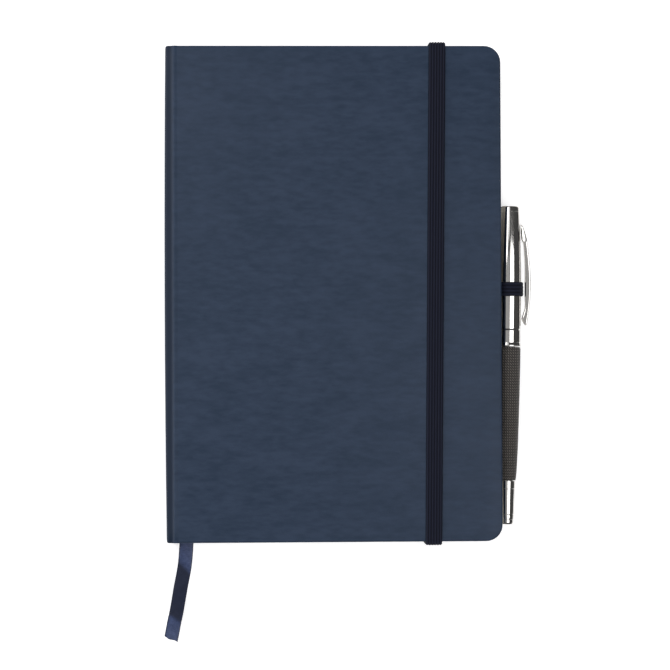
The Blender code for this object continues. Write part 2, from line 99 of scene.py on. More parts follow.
# Where the book's X axis starts, in metres in the frame
BOOK_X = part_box("front_cover_skin")[1].x - COVER_FORE_X * MM

# Each CAD node arrives with a material that is named after its slot
slot_of = {name: piece.data.materials[0].name for name, piece in frame["nodes"].items()}

CAMERA_AT = (37.07, -31.1, 1000.0)
CAMERA_TURNS = (0.8, -1.989, -0.241)
CAMERA_LENS = 125.14

CEILING = 1.7
FLOOR_HALF = 4.0
FLOOR_LEVEL = -0.0002
DIM_WORLD = 0.075
BRIGHT_BACKDROP = 1.0

SWEEP_CREASE = 50
LEATHER_CREASE = 32
CHROME_CREASE = 22
SLEEVE_CREASE = 60


def place(x, y, z):
    """A point in the book's axes, as a point in the frame."""
    return Vector((BOOK_X + x * MM, y * MM, z * MM))


# ---------------------------------------------------------------- camera, lights and floor


def make_camera():
    data = bpy.data.cameras.new("camera")
    data.sensor_width = 36.0
    data.lens = CAMERA_LENS
    data.clip_start, data.clip_end = 0.05, 20.0
    camera = bpy.data.objects.new("camera", data)
    bpy.context.scene.collection.objects.link(camera)
    camera.location = place(*CAMERA_AT)
    camera.rotation_euler = [math.radians(turn) for turn in CAMERA_TURNS]
    bpy.context.scene.camera = camera


def make_light(name, width, length, radiance):
    """A soft rectangle of light. Its radiance is what a mirror shows of it."""
    data = bpy.data.lights.new(name, "AREA")
    data.shape = "RECTANGLE"
    data.size, data.size_y = width, length
    data.energy = radiance * math.pi * width * length
    light = bpy.data.objects.new(name, data)
    bpy.context.scene.collection.objects.link(light)
    light.visible_camera = False
    return light


def make_panel(name, angles, tilts, radiance):
    """A light in the ceiling. Seen from the book it spans these angles from straight up, towards the
    fore edge and towards the head."""
    x_low, x_high = [CEILING * math.tan(math.radians(angle)) for angle in angles]
    y_low, y_high = [CEILING * math.tan(math.radians(tilt)) for tilt in tilts]
    panel = make_light(name, x_high - x_low, y_high - y_low, radiance)
    panel.location = ((x_low + x_high) / 2, (y_low + y_high) / 2, CEILING)


def make_side_light(name, angle, distance, width, length, radiance):
    """A light low at one side, at this angle from straight up, which faces the book."""
    light = make_light(name, width, length, radiance)
    turn = Matrix.Rotation(math.radians(angle), 4, "Y")
    light.matrix_world = turn @ Matrix.Translation((0, 0, distance))


def make_flag():
    """A black card on the floor beyond the pen. Only reflections show it, as a dark edge on the metal."""
    x_low, x_high, half, level = 0.094, 2.5, 2.0, 0.0004
    mesh = bpy.data.meshes.new("black_card")
    corners = [(x_low, -half), (x_high, -half), (x_high, half), (x_low, half)]
    mesh.from_pydata([(x, y, level) for x, y in corners], [], [(0, 1, 2, 3)])
    mesh.materials.append(grained_look(
        "card_look", (0.03, 0.03, 0.03), (0.045, 0.045, 0.045), (2, 2, 2), 0.01, (0.8, 0.9)
    ))
    card = bpy.data.objects.new("black_card", mesh)
    bpy.context.scene.collection.objects.link(card)
    card.visible_camera = card.visible_diffuse = card.visible_shadow = False


def make_world():
    """Dim surroundings, so that metal has something dark to reflect, behind a pale backdrop."""
    world = bpy.data.worlds.new("studio")
    bpy.context.scene.world = world
    world.use_nodes = True
    nodes, links = world.node_tree.nodes, world.node_tree.links
    background = nodes["Background"]
    background.inputs["Color"].default_value = (1, 1, 1, 1)
    ray = nodes.new("ShaderNodeLightPath")
    strength = nodes.new("ShaderNodeMapRange")
    strength.inputs["To Min"].default_value = DIM_WORLD
    strength.inputs["To Max"].default_value = BRIGHT_BACKDROP
    links.new(ray.outputs["Is Camera Ray"], strength.inputs["Value"])
    links.new(strength.outputs["Result"], background.inputs["Strength"])


def make_floor():
    half = FLOOR_HALF
    corners = [(-half, -half), (half, -half), (half, half), (-half, half)]
    mesh = bpy.data.meshes.new("floor")
    mesh.from_pydata([(x, y, FLOOR_LEVEL) for x, y in corners], [], [(0, 1, 2, 3)])
    floor = bpy.data.objects.new("floor", mesh)
    bpy.context.scene.collection.objects.link(floor)
    floor.data.materials.append(floor_look())


# ---------------------------------------------------------------- node helpers


def new_look(name, **sockets):
    """A material whose shader has these constant values."""
    look = bpy.data.materials.new(name)
    look.use_nodes = True
    shader = look.node_tree.nodes["Principled BSDF"]
    for key, value in sockets.items():
        shader.inputs[key.replace("_", " ")].default_value = value
    return look


def feed(look, socket, value):
    """Gives a socket a constant, or links it to another node's output."""
    if isinstance(value, bpy.types.NodeSocket):
        look.node_tree.links.new(value, socket)
    else:
        socket.default_value = value


def shade(look, **inputs):
    shader = look.node_tree.nodes["Principled BSDF"]
    for key, value in inputs.items():
        feed(look, shader.inputs[key.replace("_", " ")], value)


def node(look, kind, inputs, **settings):
    made = look.node_tree.nodes.new("ShaderNode" + kind)
    for key, value in settings.items():
        setattr(made, key, value)
    for key, value in inputs.items():
        feed(look, made.inputs[key], value)
    return made


def calc(look, operation, *values):
    return node(look, "Math", dict(enumerate(values)), operation=operation).outputs[0]


def remap(look, value, from_low, from_high, to_low=0.0, to_high=1.0):
    inputs = {"Value": value, "From Min": from_low, "From Max": from_high}
    inputs.update({"To Min": to_low, "To Max": to_high})
    return node(look, "MapRange", inputs).outputs[0]


def mix(look, share, first, second):
    """A colour between two others. Each may be a colour or an output."""
    first, second = [(*c, 1.0) if isinstance(c, tuple) else c for c in (first, second)]
    return node(look, "Mix", {0: share, 6: first, 7: second}, data_type="RGBA").outputs[2]


def solid_place(look):
    """Where a point is on the object, in metres."""
    return node(look, "TexCoord", {}).outputs["Object"]


def flat_place(look):
    """Where a point is on a strip, from its UV map: millimetres across and along."""
    return node(look, "TexCoord", {}).outputs["UV"]


def parts_of(look, vector):
    return node(look, "SeparateXYZ", {0: vector}).outputs


def stretched(look, vector, per_unit):
    return node(look, "Mapping", {"Vector": vector, "Scale": per_unit}).outputs[0]


def wave(look, value, per_unit):
    """A sine of this many radians per unit, moved to run from zero to one."""
    swing = calc(look, "SINE", calc(look, "MULTIPLY", value, per_unit))
    return calc(look, "MULTIPLY_ADD", swing, 0.5, 0.5)


def noise(look, vector, per_unit, detail=2.0, roughness=0.5):
    """Soft random values, stretched by the number of cells per unit along each axis."""
    inputs = {"Vector": stretched(look, vector, per_unit), "Scale": 1.0, "Detail": detail}
    inputs["Roughness"] = roughness
    return node(look, "TexNoise", inputs).outputs["Fac"]


def cells(look, vector, per_unit):
    inputs = {"Vector": stretched(look, vector, per_unit), "Scale": 1.0}
    return node(look, "TexVoronoi", inputs, feature="SMOOTH_F1").outputs["Distance"]


def relief(look, height, depth, strength=1.0):
    """Small relief, of this depth in millimetres."""
    inputs = {"Height": height, "Distance": depth * MM, "Strength": strength}
    shade(look, Normal=node(look, "Bump", inputs).outputs[0])


def line_every(look, value, pitch, width, offset=0.0):
    """One on thin lines at an even pitch, zero between them."""
    shifted = calc(look, "ADD", value, offset)
    away = calc(look, "PINGPONG", shifted, pitch / 2)
    return calc(look, "LESS_THAN", away, width / 2)


# ---------------------------------------------------------------- materials


def floor_look():
    look = new_look("floor_look", Roughness=0.7, Specular_IOR_Level=0.1, Emission_Strength=0.6)
    shade(look, Emission_Color=(1, 1, 1, 1))
    tone = noise(look, solid_place(look), (3, 3, 3))
    shade(look, Base_Color=mix(look, tone, (0.90, 0.90, 0.905), (0.93, 0.93, 0.93)))
    return look


NAVY_LOW = (0.0200, 0.0368, 0.0705)
NAVY_HIGH = (0.0310, 0.0502, 0.0920)
# A darker navy, for painted shade near the spine
SPINE_SHADE_NAVY = (0.0128, 0.0228, 0.0455)
# A lighter navy, partly for rubbed wear and partly for painted highlight on tilted faces
RUBBED_AND_HIGHLIGHT_NAVY = (0.040, 0.056, 0.090)
# Where the painted shade near the spine fades out, in millimetres from the spine
SPINE_SHADE_FADE = (2.2, 3.6)


def leather_look():
    """Navy imitation leather: faint streaks across, a fine grain, tilted faces and edges a little lighter,
    partly rubbed wear and partly painted highlight, and painted shade that darkens the spine and the joint."""
    look = new_look("leather_look", Specular_IOR_Level=0.22)
    at = solid_place(look)
    streaks = noise(look, at, (170, 480, 400), 3, 0.6)
    patches = noise(look, at, (55, 120, 90), 3)
    tone = calc(look, "ADD", calc(look, "MULTIPLY", streaks, 0.6), calc(look, "MULTIPLY", patches, 0.4))
    tone = remap(look, tone, 0.38, 0.62)
    colour = mix(look, tone, NAVY_LOW, NAVY_HIGH)
    # Painted shade: the leather is coloured darker near the spine and over the joint, where shade falls
    out_of_spine_shade = remap(look, parts_of(look, at)[0], *[BOOK_X + x * MM for x in SPINE_SHADE_FADE])
    colour = mix(look, out_of_spine_shade, SPINE_SHADE_NAVY, colour)
    # Partly rubbed wear and partly painted highlight: faces that tilt away from level are coloured lighter,
    # with random scuffs
    normal = parts_of(look, node(look, "NewGeometry", {}).outputs["Normal"])
    level = calc(look, "ABSOLUTE", normal[2])
    rubbed_and_highlight = remap(look, level, 0.985, 0.6, 0.0, 0.12)
    scuffs = remap(look, noise(look, at, (900, 900, 900), 3), 0.35, 0.65)
    rubbed_and_highlight = calc(look, "MULTIPLY", rubbed_and_highlight, calc(look, "MULTIPLY_ADD", scuffs, 0.5, 0.5))
    shade(look, Base_Color=mix(look, rubbed_and_highlight, colour, RUBBED_AND_HIGHLIGHT_NAVY))
    shade(look, Roughness=remap(look, streaks, 0.3, 0.7, 0.44, 0.54))
    grain = cells(look, at, (2100, 2100, 2100))
    creases = noise(look, at, (420, 900, 600), 3)
    relief(look, calc(look, "ADD", grain, calc(look, "MULTIPLY", creases, 0.9)), 0.05, 0.5)
    return look


STITCH_PITCH = 0.55


def elastic_look(name, ribs, width):
    """Knitted elastic: ribs along it, painted shade darkening the grooves between the ribs, and fine threads
    across each rib.
    """
    look = new_look(name, Sheen_Weight=0.08, Sheen_Roughness=0.5, Specular_IOR_Level=0.15)
    across, along, _ = parts_of(look, flat_place(look))
    pitch = width / ribs
    rib = calc(look, "MULTIPLY", across, 2 * math.pi / pitch)
    rib_hill_and_shade = calc(look, "MULTIPLY_ADD", calc(look, "COSINE", rib), -0.5, 0.5)
    slant = calc(look, "MULTIPLY", rib, 0.5)
    thread = calc(look, "MULTIPLY_ADD", along, 2 * math.pi / STITCH_PITCH, slant)
    stitch = calc(look, "MULTIPLY_ADD", calc(look, "SINE", thread), 0.5, 0.5)
    fuzz = noise(look, flat_place(look), (3.0, 1.2, 1.0), 3)
    # Painted shade: the colour falls to its darkest in the grooves between the ribs
    tone = calc(look, "MULTIPLY", rib_hill_and_shade, calc(look, "MULTIPLY_ADD", stitch, 0.35, 0.65))
    tone = calc(look, "MULTIPLY", tone, calc(look, "MULTIPLY_ADD", fuzz, 0.7, 0.65))
    shade(look, Base_Color=mix(look, tone, (0.0026, 0.0034, 0.0105), (0.0140, 0.0170, 0.0370)))
    shade(look, Roughness=remap(look, fuzz, 0.2, 0.8, 0.6, 0.8))
    relief(look, calc(look, "ADD", calc(look, "MULTIPLY", stitch, 0.5), rib_hill_and_shade), 0.06, 0.8)
    return look


SATIN_THREADS = 22.0
# A light and a dark copy of the satin colour, for painted sheen where the ribbon lies level and painted shade
# where it slopes
SATIN_PAINTED_SHEEN = ((0.008, 0.020, 0.070), (0.058, 0.086, 0.205))
SATIN_PAINTED_SHADE = ((0.0085, 0.012, 0.032), (0.018, 0.024, 0.052))
SATIN_EDGE = (0.012, 0.017, 0.042)
# How far up a face looks where the painted shade on the ribbon turns to painted sheen, and where its firm
# edge lies
PAINTED_SHEEN_FACES = (0.962, 0.994)
FIRM_EDGE = (2.5, 2.85)


def satin_look():
    """Satin ribbon: close threads across, painted sheen where it lies level and painted shade on a slope,
    with firm edges.
    """
    look = new_look("satin_look", Sheen_Weight=0.05, Sheen_Roughness=0.4, Specular_IOR_Level=0.5)
    across, along, _ = parts_of(look, flat_place(look))
    thread = wave(look, along, SATIN_THREADS)
    slub = noise(look, flat_place(look), (0.5, 4.0, 1.0), 3)
    blotch = noise(look, flat_place(look), (0.45, 0.35, 1.0), 3, 0.7)
    tone = calc(look, "ADD", calc(look, "MULTIPLY", thread, 0.2), calc(look, "MULTIPLY", slub, 0.35))
    tone = calc(look, "MULTIPLY_ADD", blotch, 0.45, tone)
    tone = remap(look, tone, 0.36, 0.62)
    # Painted sheen and painted shade: a light and a dark copy of the satin colour
    painted_sheen = mix(look, tone, *SATIN_PAINTED_SHEEN)
    dark = mix(look, tone, *SATIN_PAINTED_SHADE)
    # How far the face looks up chooses between the painted sheen and the painted shade
    upward = parts_of(look, node(look, "NewGeometry", {}).outputs["Normal"])[2]
    level = remap(look, upward, *PAINTED_SHEEN_FACES)
    edge = remap(look, calc(look, "ABSOLUTE", across), *FIRM_EDGE)
    colour = mix(look, level, dark, painted_sheen)
    shade(look, Base_Color=mix(look, edge, colour, SATIN_EDGE))
    shade(look, Roughness=remap(look, slub, 0.2, 0.8, 0.34, 0.48))
    relief(look, calc(look, "ADD", thread, slub), 0.012, 0.6)
    return look


def chrome_look():
    """Bright plating: nearly a mirror, with hairlines and a slight unevenness."""
    look = new_look("chrome_look", Metallic=1.0)
    at = solid_place(look)
    film = noise(look, at, (180, 60, 180), 3)
    hairlines = noise(look, at, (5200, 260, 5200), 2)
    shade(look, Base_Color=mix(look, film, (0.60, 0.585, 0.565), (0.68, 0.665, 0.645)))
    worn = calc(look, "ADD", calc(look, "MULTIPLY", film, 0.5), calc(look, "MULTIPLY", hairlines, 0.5))
    shade(look, Roughness=remap(look, worn, 0.3, 0.7, 0.05, 0.11))
    relief(look, hairlines, 0.0006, 0.5)
    return look


def sleeve_look():
    """A braid round the barrel: two families of slanting strands that pass over each other."""
    look = new_look("sleeve_look", Specular_IOR_Level=0.35, Sheen_Weight=0.1)
    across, along, _ = parts_of(look, flat_place(look))
    per_mm = 2 * math.pi / BRAID_PITCH
    slant = calc(look, "MULTIPLY", along, per_mm / BRAID_STEEPNESS)
    turn = calc(look, "MULTIPLY", across, per_mm)
    rising = calc(look, "SINE", calc(look, "ADD", turn, slant))
    falling = calc(look, "SINE", calc(look, "SUBTRACT", turn, slant))
    over = calc(look, "MULTIPLY", rising, falling)
    ridge, cross_ridge = [calc(look, "MULTIPLY", strand, strand) for strand in (rising, falling)]
    front = calc(look, "MULTIPLY", remap(look, over, -0.45, 0.2, 0.2), ridge)
    back = calc(look, "MULTIPLY", remap(look, over, 0.0, -0.3), cross_ridge)
    fuzz = noise(look, flat_place(look), (2.2, 2.2, 1.0), 3)
    light = mix(look, fuzz, (0.125, 0.112, 0.101), (0.270, 0.243, 0.222))
    dark = mix(look, back, (0.007, 0.0065, 0.006), (0.026, 0.0235, 0.022))
    shade(look, Base_Color=mix(look, front, dark, light))
    shade(look, Roughness=remap(look, fuzz, 0.2, 0.8, 0.5, 0.7))
    relief(look, calc(look, "MAXIMUM", front, back), 0.15, 0.9)
    return look


def paper_colours(look, at):
    fibre = noise(look, at, (300, 300, 300), 4)
    return mix(look, fibre, (0.76, 0.735, 0.66), (0.83, 0.81, 0.74))


def page_look():
    """Cream paper, with a stripe for each leaf at the cut edges."""
    look = new_look("page_look", Roughness=0.8, Specular_IOR_Level=0.2)
    at = solid_place(look)
    leaf = noise(look, at, (4, 4, 9000), 2)
    normal = parts_of(look, node(look, "NewGeometry", {}).outputs["Normal"])
    side = remap(look, calc(look, "ABSOLUTE", normal[2]), 0.5, 0.3)
    shadow = calc(look, "MULTIPLY", side, remap(look, leaf, 0.42, 0.60))
    shade(look, Base_Color=mix(look, shadow, paper_colours(look, at), (0.42, 0.39, 0.33)))
    relief(look, leaf, 0.03, 0.6)
    return look


ROW_PITCH = 7.0
ROW_LINE = 0.25
COLUMN_PITCH = 22.0
COLUMN_LINE = 0.3
COLUMN_SHIFT = 4.0
PAGE_MARGIN = 9


def ruled_look():
    """A ruled leaf: pale rows and columns inside a margin at the head and tail, with no lettering."""
    look = new_look("ruled_look", Roughness=0.8, Specular_IOR_Level=0.2)
    at = solid_place(look)
    x, y, _ = parts_of(look, at)
    rows = line_every(look, y, ROW_PITCH * MM, ROW_LINE * MM)
    columns = line_every(look, x, COLUMN_PITCH * MM, COLUMN_LINE * MM, COLUMN_SHIFT * MM)
    inside = calc(look, "LESS_THAN", calc(look, "ABSOLUTE", y), (PAGE_HALF - PAGE_MARGIN) * MM)
    ink = calc(look, "MULTIPLY", calc(look, "MAXIMUM", rows, columns), inside)
    strength = calc(look, "MULTIPLY", ink, 0.75)
    shade(look, Base_Color=mix(look, strength, paper_colours(look, at), (0.25, 0.33, 0.45)))
    relief(look, noise(look, at, (900, 900, 900), 3), 0.01, 0.5)
    return look


def grained_look(name, dark, light, cell, depth, rough, **sockets):
    """A plain stuff with a fine grain: board, cloth, plastic, steel or brass."""
    look = new_look(name, **sockets)
    grain = noise(look, solid_place(look), [1 / (size * MM) for size in cell], 4)
    shade(look, Base_Color=mix(look, remap(look, grain, 0.3, 0.7), dark, light))
    shade(look, Roughness=remap(look, grain, 0.2, 0.8, *rough))
    relief(look, grain, depth, 0.6)
    return look


# ---------------------------------------------------------------- mesh helpers


def add_mesh(name, points, faces, look, body=None, uvs=None):
    """A piece from points in the book's axes. The UV map holds one pair for each point."""
    mesh = bpy.data.meshes.new(name)
    mesh.from_pydata([place(*point) for point in points], [], faces)
    if uvs:
        layer = mesh.uv_layers.new(name="UVMap")
        for loop in mesh.loops:
            layer.data[loop.index].uv = uvs[loop.vertex_index]
    mesh.shade_smooth()
    mesh.materials.append(look)
    piece = bpy.data.objects.new(name, mesh)
    bpy.context.scene.collection.objects.link(piece)
    if body:
        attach(piece, body)
    return piece


def sweep(name, rings, look, body=None, uvs=None):
    """A closed body through rings of equally many points, one after another."""
    count = len(rings[0])
    points = [point for ring in rings for point in ring]
    faces = []
    for ring in range(len(rings) - 1):
        for side in range(count):
            after = (side + 1) % count
            low, high = ring * count, (ring + 1) * count
            faces.append((low + side, low + after, high + after, high + side))
    faces.append(tuple(reversed(range(count))))
    faces.append(tuple(range(len(points) - count, len(points))))
    piece = add_mesh(name, points, faces, look, body, uvs)
    work = bmesh.new()
    work.from_mesh(piece.data)
    bmesh.ops.recalc_face_normals(work, faces=work.faces)
    work.to_mesh(piece.data)
    work.free()
    piece.data.set_sharp_from_angle(angle=math.radians(SWEEP_CREASE))
    return piece


def stand_for(name):
    """Hides the CAD node that a piece stands for."""
    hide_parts(name)


def arc(start, end, steps):
    """Angles from start to end, in radians."""
    return [start + (end - start) * step / steps for step in range(steps + 1)]


def smooth_points(points, steps):
    """Points on a smooth curve through these points (Catmull-Rom)."""
    first = [2 * a - b for a, b in zip(points[0], points[1])]
    last = [2 * a - b for a, b in zip(points[-1], points[-2])]
    line = [first, *points, last]
    found = []
    for p, q, r, s in zip(line, line[1:], line[2:], line[3:]):
        for step in range(steps):
            t = step / steps
            found.append([
                0.5 * (2 * b + (c - a) * t + (2 * a - 5 * b + 4 * c - d) * t**2
                       + (3 * b - a - 3 * c + d) * t**3)
                for a, b, c, d in zip(p, q, r, s)
            ])
    found.append(list(points[-1]))
    return [Vector(point) for point in found]


def smooth_copy(name, look, crease):
    """A copy of a CAD node with its points welded and its normals smoothed, which stands for the node.
    Edges that turn by more than the crease, in degrees, stay sharp."""
    mesh = frame["nodes"][name].data.copy()
    work = bmesh.new()
    work.from_mesh(mesh)
    bmesh.ops.remove_doubles(work, verts=work.verts, dist=0.002 * MM)
    work.to_mesh(mesh)
    work.free()
    if "custom_normal" in mesh.attributes:
        mesh.attributes.remove(mesh.attributes["custom_normal"])
    mesh.shade_smooth()
    mesh.set_sharp_from_angle(angle=math.radians(crease))
    mesh.materials.clear()
    mesh.materials.append(look)
    piece = bpy.data.objects.new(name + "_surface", mesh)
    bpy.context.scene.collection.objects.link(piece)
    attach(piece, frame["nodes"][name]["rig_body"])
    stand_for(name)
    return piece


# ---------------------------------------------------------------- ribbon marker

RIBBON_WIDTH = 6.0
RIBBON_THICK = 0.22
RIBBON_STEPS = 12
# The wavy end cut takes up the last part of the ribbon, from this share of its length on
CUT_FROM = 0.85
CUT_WAVE = 0.28
# How fast the ribbon's crown and its ripple come and go, in radians for each millimetre along it
CROWN_RATE = 0.21
RIPPLE_RATE = 0.55
RIBBON_ROUTE = [
    (8.2, -102.0, 8.50), (8.05, -106.5, 8.45), (7.75, -111.0, 8.25), (7.3, -115.2, 7.85),
    (6.5, -119.6, 6.75), (5.5, -124.5, 4.95), (4.45, -130.4, 2.8), (3.45, -135.8, 1.0),
    (2.8, -138.6, 0.28), (2.3, -141.0, 0.2), (1.75, -144.0, 0.2), (1.1, -147.2, 0.2),
]


def height_at(route, lengths, distance):
    """How high a route is at this distance along it."""
    for i in range(1, len(route)):
        if distance <= lengths[i] or i == len(route) - 1:
            share = (distance - lengths[i - 1]) / (lengths[i] - lengths[i - 1])
            return route[i - 1].z + (route[i].z - route[i - 1].z) * min(1.0, share)


def ribbon_rings(route, curl=0.0, slant=0.0, skew=0.0):
    """Rings across a ribbon. Its middle rises by curl, and its end is cut on a slant. With skew, one
    side is that much further along than the middle, and so the ribbon comes down aslant."""
    rings, uvs, lengths = [], [], [0.0]
    for before, after in zip(route, route[1:]):
        lengths.append(lengths[-1] + (after - before).length)
    for i, middle in enumerate(route):
        before, after = route[max(i - 1, 0)], route[min(i + 1, len(route) - 1)]
        along = (after - before).normalized()
        across = along.cross(Vector((0, 0, 1))).normalized()
        up = across.cross(along).normalized()
        gone, share = lengths[i], i / (len(route) - 1)
        top, low, ring_uv = [], [], []
        for step in range(RIBBON_STEPS + 1):
            side = 2 * step / RIBBON_STEPS - 1
            crown = curl * (1 - side**2) * math.sin(gone * CROWN_RATE) ** 2
            ripple = 0.5 * curl * math.sin(gone * RIPPLE_RATE + side)
            fray = CUT_WAVE * math.sin(4.2 * side + 0.6) if share == 1 else 0.0
            push = along * (-slant * side + fray) * max(0.0, (share - CUT_FROM) / (1 - CUT_FROM))
            point = middle + across * side * RIBBON_WIDTH / 2 + up * (ripple + crown) + push
            if skew:
                ahead = skew * side * min(1.0, gone / 8)
                point.z += height_at(route, lengths, max(0.0, gone + ahead)) - middle.z
            half = up * RIBBON_THICK / 2 * (1 - 0.5 * side**8)
            top.append(point + half)
            low.append(point - half)
            ring_uv.append((side * RIBBON_WIDTH / 2, gone))
        rings.append(top + low[::-1])
        uvs += ring_uv + ring_uv[::-1]
    return rings, uvs


def make_ribbon():
    satin = satin_look()
    route = smooth_points(RIBBON_ROUTE, 4)
    rings, uvs = ribbon_rings(route, curl=0.12, slant=0.5, skew=1.8)
    tail = sweep("ribbon_free_end", rings, satin, "back_cover", uvs)
    stand_for("ribbon_tail")
    inner_route = [(7.6, 101.0), (7.9, 50.0), (8.2, 0.0), (8.3, -60.0), (8.2, -101.9)]
    inner_route = smooth_points([(x, y, MIDDLE) for x, y in inner_route], 12)
    rings, uvs = ribbon_rings(inner_route)
    inner = sweep("ribbon_between_pages", rings, satin, "back_cover", uvs)
    stand_for("ribbon_inner")


# ---------------------------------------------------------------- elastic

STEPS_PER_RIB = 6


def rib_height(across, width, ribs, depth):
    """How far the face of the elastic stands out at this place across it."""
    inside = max(0.0, 1 - abs(2 * across / width) ** 10)
    return depth * (0.5 - 0.5 * math.cos(2 * math.pi * (across / width + 0.5) * ribs)) * inside


def elastic_rings(route, facing, width, thick, ribs, depth, fold=None):
    """Rings of a ribbed strip along a route. Facing gives each point's outward direction, and fold how
    much deeper the ribs are there."""
    rings, uvs = [], []
    gone = 0.0
    steps = ribs * STEPS_PER_RIB
    for i, (middle, out) in enumerate(zip(route, facing)):
        before, after = route[max(i - 1, 0)], route[min(i + 1, len(route) - 1)]
        side_way = (after - before).normalized().cross(out).normalized()
        if i:
            gone += (middle - route[i - 1]).length
        deep = depth * (fold[i] if fold else 1.0)
        outer, inner, outer_uv, inner_uv = [], [], [], []
        for step in range(steps + 1):
            across = width * (step / steps - 0.5)
            edge = 1 - abs(2 * across / width) ** 12
            rise = thick * (0.5 * edge) + rib_height(across, width, ribs, deep) - deep / 2
            outer.append(middle + side_way * across + out * rise)
            outer_uv.append((across + width / 2, gone))
            if step % STEPS_PER_RIB == 0:
                inner.append(middle + side_way * across - out * thick / 2 * max(edge, 0.2))
                inner_uv.append((across + width / 2, gone))
        rings.append(outer + inner[::-1])
        uvs += outer_uv + inner_uv[::-1]
    return rings, uvs


def band_x(y):
    return BAND_X - y * BAND_LEAN


# How far outside the covers' edges, and how high, the middle of the closure's thickness runs
BAND_STAND = COVER_HALF + 1.1
BAND_LEVEL = THICKNESS + 0.55
BAND_TURN = 1.0
BAND_THICK = 0.72
BAND_RIB_DEPTH = 0.2
# The height at which the closure's front run meets the wraps, with a short overlap
WRAP_SPLIT = 16.2
WRAP_OVERLAP = 0.3
WRAP_TURN = 0.7
WRAP_LOW = 3.5
WRAP_WIDTH = BAND_WIDTH - 0.1
WRAP_THICK = 0.62
WRAP_RIB_DEPTH = 0.1
GLUED_LEVEL = 2.74
GLUED_LOW = 2.58
GLUED_HIGH = 2.88


def band_end(side):
    """The closure's way up and over an edge of the cover: places with their directions and rib depths."""
    leg = [(side * BAND_STAND, WRAP_SPLIT - WRAP_OVERLAP, side, 0, 1.6)]
    for step, angle in enumerate(arc(0, math.pi / 2, 6)):
        y = BAND_STAND - BAND_TURN + BAND_TURN * math.cos(angle)
        z = BAND_LEVEL - BAND_TURN + BAND_TURN * math.sin(angle)
        leg.append((side * y, z, side * math.cos(angle), math.sin(angle), 1.9 - 0.7 * step / 6))
    return leg


def make_front_run(elastic):
    spans, reach = 84, COVER_HALF - 2
    places = [-reach + 2 * reach * span / spans for span in range(spans + 1)]
    line = band_end(-1) + [(y, BAND_LEVEL, 0, 1, 1.0) for y in places] + band_end(1)[::-1]
    route = [Vector((band_x(y), y, z)) for y, z, *_ in line]
    facing = [Vector((0, out_y, out_z)) for _, _, out_y, out_z, _ in line]
    fold = [depth for *_, depth in line]
    rings, uvs = elastic_rings(route, facing, BAND_WIDTH, BAND_THICK, BAND_RIBS, BAND_RIB_DEPTH, fold)
    run = sweep("closure_front_run", rings, elastic, "closure", uvs)
    stand_for("closure_elastic")


def wrap_line(x, side):
    """Down past a cover's edges, round the back cover's inner edge and in to where it is glued."""
    levels = [WRAP_SPLIT + WRAP_OVERLAP - i * 12.7 / 16 for i in range(17)]
    route = [Vector((x, side * BAND_STAND, z)) for z in levels]
    facing = [Vector((0, side, 0))] * len(route)
    for angle in arc(0, math.pi / 2, 4)[1:]:
        y = BAND_STAND - WRAP_TURN + WRAP_TURN * math.cos(angle)
        route.append(Vector((x, side * y, WRAP_LOW - WRAP_TURN * math.sin(angle))))
        facing.append(Vector((0, side * math.cos(angle), -math.sin(angle))))
    for inward in (2.5, 5.0, 9.0, 13.0):
        route.append(Vector((x, side * (COVER_HALF - inward), GLUED_LEVEL)))
        facing.append(Vector((0, 0, -1)))
    return route, facing


def make_wrap(elastic, side, end):
    x = band_x(side * COVER_HALF)
    route, facing = wrap_line(x, side)
    rings, uvs = elastic_rings(route, facing, WRAP_WIDTH, WRAP_THICK, BAND_RIBS, WRAP_RIB_DEPTH)
    # The glued end is pressed thin, so that it stays in its gap under the pastedown
    for ring in rings:
        for point in ring:
            if abs(point.y) < COVER_HALF - 1:
                point.z = min(max(point.z, GLUED_LOW), GLUED_HIGH)
    wrap = sweep(f"closure_{end}_wrap", rings, elastic, None, uvs)
    stand_for(f"closure_end_{end}")
    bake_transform(wrap)


def make_closure():
    elastic = elastic_look("elastic_look", BAND_RIBS, BAND_WIDTH)
    make_front_run(elastic)
    make_wrap(elastic, 1, "head")
    make_wrap(elastic, -1, "tail")


# The loop's radius at the middle of its thickness, and where its two ends come together
LOOP_RADIUS = 5.72
LOOP_APEX = Vector((139.5, 0, 3.15))
LOOP_THICK = 0.55
LOOP_RIB_DEPTH = 0.16
LOOP_GLUED_LEVEL = 2.72


def loop_line():
    """From under the pastedown, round the cap and back under the pastedown, in the plane Y = 0."""
    centre = Vector((PEN_X, 0, MIDDLE))
    to_centre = centre - LOOP_APEX
    reach = to_centre.length
    spread = math.asin(LOOP_RADIUS / reach)
    heading = math.atan2(to_centre.z, to_centre.x)
    tangent = math.sqrt(reach**2 - LOOP_RADIUS**2)
    upper, lower = heading + spread, heading - spread
    line = [((134.5, 2.92), (0, 1)), ((137.0, 2.95), (0, 1)), ((139.0, 3.10), (-0.5, 0.86))]
    route = [Vector((x, 0, z)) for (x, z), _ in line]
    facing = [Vector((x, 0, z)) for _, (x, z) in line]
    for share in (0.15, 0.4, 0.7):
        route.append(LOOP_APEX + Vector((math.cos(upper), 0, math.sin(upper))) * tangent * share)
        facing.append(Vector((-math.sin(upper), 0, math.cos(upper))))
    for angle in arc(upper + math.pi / 2, lower - math.pi / 2, 44):
        out = Vector((math.cos(angle), 0, math.sin(angle)))
        route.append(centre + out * LOOP_RADIUS)
        facing.append(out)
    for share in (0.6, 0.3):
        route.append(LOOP_APEX + Vector((math.cos(lower), 0, math.sin(lower))) * tangent * share)
        facing.append(Vector((math.sin(lower), 0, -math.cos(lower))))
    for x in (138.5, 134.5, 129.0):
        route.append(Vector((x, 0, LOOP_GLUED_LEVEL)))
        facing.append(Vector((0, 0, -1)))
    return route, facing


